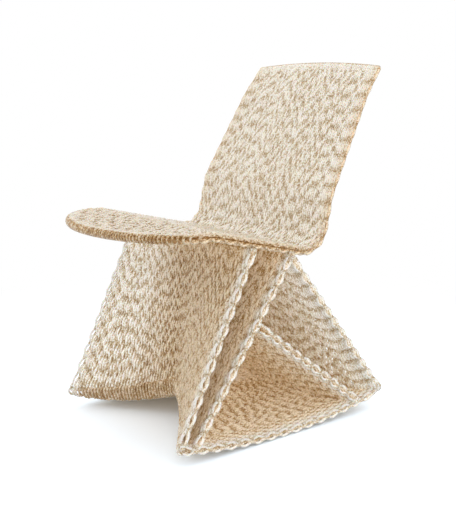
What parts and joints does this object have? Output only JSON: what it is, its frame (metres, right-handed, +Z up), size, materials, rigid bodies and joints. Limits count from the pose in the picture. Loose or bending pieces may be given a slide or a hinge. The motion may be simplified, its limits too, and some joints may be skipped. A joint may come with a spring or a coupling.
{
  "type": "rocking side chair",
  "caption": "Rocking side chair laid up from wavy honey-coloured strands, with open lens cells along its edges, a rounded seat front and a hollow rocker base.",
  "frame": {"origin": "on the floor, in the middle of the chair's width and depth", "axes": "+Z up, -Y the way the sitter faces, +X to the sitter's left"},
  "size_m": [0.472, 0.692, 0.8365],
  "materials": {
    "strand": "gloss"
  },
  "bodies": {
    "root": {"seat_deck": "strand", "seat_front": "strand", "seat_rim": "strand", "left_seat_course": "strand", "right_seat_course": "strand", "lumbar_bend": "strand", "left_lumbar_course": "strand", "right_lumbar_course": "strand", "back_panel": "strand", "left_back_course": "strand", "right_back_course": "strand", "crest_rim": "strand", "front_leg_outer_wall": "strand", "left_front_leg_outer_course": "strand", "right_front_leg_outer_course": "strand", "front_leg_inner_wall": "strand", "left_front_leg_inner_course": "strand", "right_front_leg_inner_course": "strand", "rear_leg_outer_wall": "strand", "left_rear_leg_outer_course": "strand", "right_rear_leg_outer_course": "strand", "rear_leg_inner_wall": "strand", "left_rear_leg_inner_course": "strand", "right_rear_leg_inner_course": "strand", "rocker_floor": "strand", "left_rocker_course": "strand", "right_rocker_course": "strand"}
  },
  "joints": []
}
